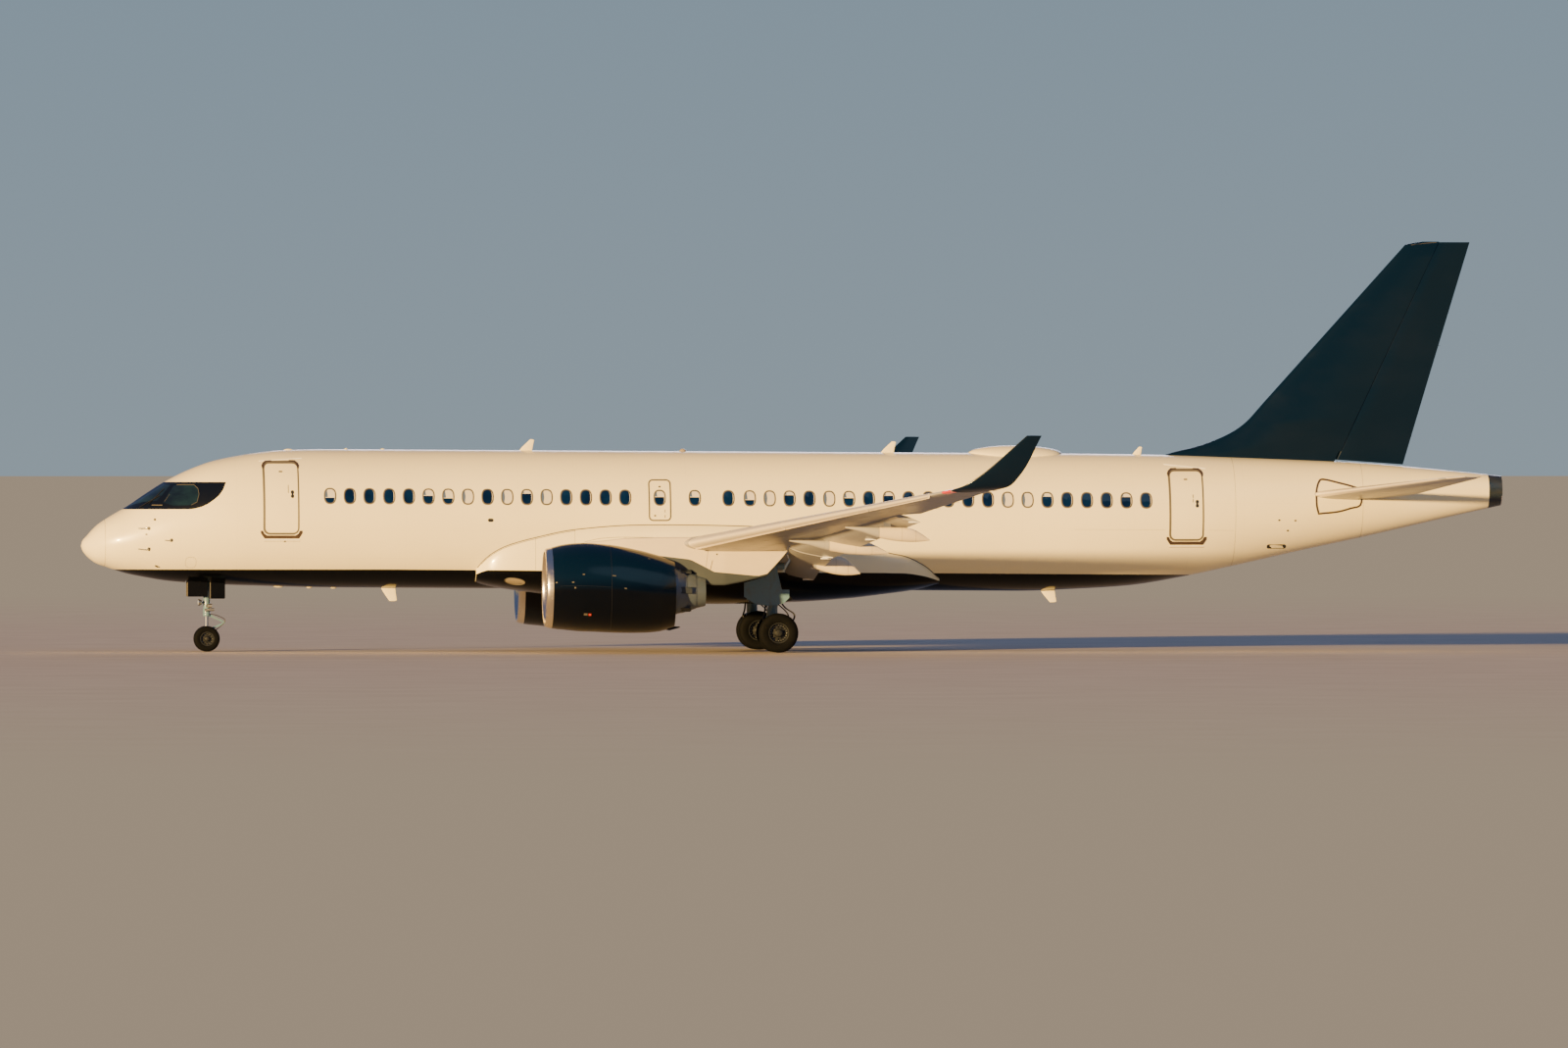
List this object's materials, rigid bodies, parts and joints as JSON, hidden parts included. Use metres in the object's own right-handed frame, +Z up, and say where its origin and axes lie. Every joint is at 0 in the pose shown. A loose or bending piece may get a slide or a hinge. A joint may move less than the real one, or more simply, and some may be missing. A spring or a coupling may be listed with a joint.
{
  "type": "narrow body airliner",
  "caption": "Single-aisle jet airliner parked on its landing gear: swept low wing with winglets, underwing turbofans, hinged control surfaces, steered nose wheels and hinged hold doors.",
  "frame": {"origin": "on the ground, on the middle plane, below the middle of the length", "axes": "+X points to the tail, +Y to the right wing, +Z up"},
  "size_m": [38.71, 35.127, 11.135],
  "materials": {
    "white_paint": "gloss",
    "belly_paint": "gloss",
    "dark_paint": "gloss",
    "grey_paint": "satin",
    "bare_aluminium": "polished",
    "engine_metal": "satin",
    "glazing": "polished",
    "gear_paint": "satin",
    "wheel_metal": "satin",
    "tyre_rubber": "matte"
  },
  "bodies": {
    "rudder": {"rudder": "dark_paint"},
    "nose_steering": {"nose_strut": "gear_paint"},
    "nose_wheels": {"nose_wheels": "wheel_metal", "nose_tyre_left": "tyre_rubber", "nose_tyre_right": "tyre_rubber"},
    "cargo_door_forward": {"cargo_door_forward": "white_paint"},
    "cargo_door_aft": {"cargo_door_aft": "white_paint"},
    "aileron_left": {"aileron_left": "grey_paint"},
    "elevator_left": {"elevator_left": "grey_paint"},
    "fan_left": {"fan_left": "engine_metal"},
    "main_wheels_left": {"main_wheels_left": "wheel_metal", "main_tyre_left_outer": "tyre_rubber", "main_tyre_left_inner": "tyre_rubber"},
    "aileron_right": {"aileron_right": "grey_paint"},
    "elevator_right": {"elevator_right": "grey_paint"},
    "fan_right": {"fan_right": "engine_metal"},
    "main_wheels_right": {"main_wheels_right": "wheel_metal", "main_tyre_right_outer": "tyre_rubber", "main_tyre_right_inner": "tyre_rubber"},
    "airframe": {"passenger_door_left": "white_paint", "service_door_right": "white_paint", "aft_door_left": "white_paint", "aft_door_right": "white_paint", "overwing_exit_left": "white_paint", "overwing_exit_right": "white_paint", "cockpit_glazing": "glazing", "fuselage": "white_paint", "belly_fairing": "white_paint", "wing_left": "grey_paint", "slat_left": "bare_aluminium", "flap_inboard_left": "grey_paint", "flap_outboard_left": "grey_paint", "winglet_left": "dark_paint", "stabiliser_left": "grey_paint", "intake_lip_left": "bare_aluminium", "cowl_left": "dark_paint", "engine_core_left": "engine_metal", "pylon_left": "grey_paint", "main_leg_left": "gear_paint", "leg_door_left": "gear_paint", "nose_door_left": "belly_paint", "wing_right": "grey_paint", "slat_right": "bare_aluminium", "flap_inboard_right": "grey_paint", "flap_outboard_right": "grey_paint", "winglet_right": "dark_paint", "stabiliser_right": "grey_paint", "intake_lip_right": "bare_aluminium", "cowl_right": "dark_paint", "engine_core_right": "engine_metal", "pylon_right": "grey_paint", "main_leg_right": "gear_paint", "leg_door_right": "gear_paint", "nose_door_right": "belly_paint", "fin": "dark_paint", "nose_leg": "gear_paint"}
  },
  "joints": [
    {"name": "rudder_hinge", "type": "hinge", "parent": "airframe", "child": "rudder", "pos_m": [14.967, 0, 5.35], "axis": [0.4241, 0, 0.9056], "range_deg": [-29, 29]},
    {"name": "aileron_left_hinge", "type": "hinge", "parent": "airframe", "child": "aileron_left", "pos_m": [1.77891, -12.1, 3.80794], "axis": [-0.3607, 0.9246, -0.1228], "range_deg": [-20, 20]},
    {"name": "aileron_right_hinge", "type": "hinge", "parent": "airframe", "child": "aileron_right", "pos_m": [1.77891, 12.1, 3.80794], "axis": [0.3607, 0.9246, 0.1228], "range_deg": [-20, 20]},
    {"name": "elevator_left_hinge", "type": "hinge", "parent": "airframe", "child": "elevator_left", "pos_m": [15.96763, -1, 4.24], "axis": [-0.3596, 0.9285, -0.0928], "range_deg": [-25, 20]},
    {"name": "elevator_right_hinge", "type": "hinge", "parent": "airframe", "child": "elevator_right", "pos_m": [15.96763, 1, 4.24], "axis": [0.3596, 0.9285, 0.0928], "range_deg": [-25, 20]},
    {"name": "cargo_door_forward_hinge", "type": "hinge", "parent": "airframe", "child": "cargo_door_forward", "pos_m": [-10.913, 1.68126, 3.06], "axis": [1, 0.0016, 0], "range_deg": [0, 105]},
    {"name": "cargo_door_aft_hinge", "type": "hinge", "parent": "airframe", "child": "cargo_door_aft", "pos_m": [4.887, 1.68929, 3], "axis": [1, 0.0015, 0], "range_deg": [0, 105]},
    {"name": "fan_left_spin", "type": "hinge", "parent": "airframe", "child": "fan_left", "pos_m": [-6.353, -5.65, 1.745], "axis": [1, 0, 0], "continuous": true},
    {"name": "fan_right_spin", "type": "hinge", "parent": "airframe", "child": "fan_right", "pos_m": [-6.353, 5.65, 1.745], "axis": [1, 0, 0], "continuous": true},
    {"name": "nose_steering", "type": "hinge", "parent": "airframe", "child": "nose_steering", "pos_m": [-15.953, 0, 0.347], "axis": [0, 0, 1], "range_deg": [-78, 78]},
    {"name": "nose_wheels_spin", "type": "hinge", "parent": "nose_steering", "child": "nose_wheels", "pos_m": [-15.953, 0, 0.347], "axis": [0, 1, 0], "continuous": true},
    {"name": "main_wheels_left_spin", "type": "hinge", "parent": "airframe", "child": "main_wheels_left", "pos_m": [-0.723, -3.365, 0.53], "axis": [0, 1, 0], "continuous": true},
    {"name": "main_wheels_right_spin", "type": "hinge", "parent": "airframe", "child": "main_wheels_right", "pos_m": [-0.723, 3.365, 0.53], "axis": [0, 1, 0], "continuous": true}
  ]
}
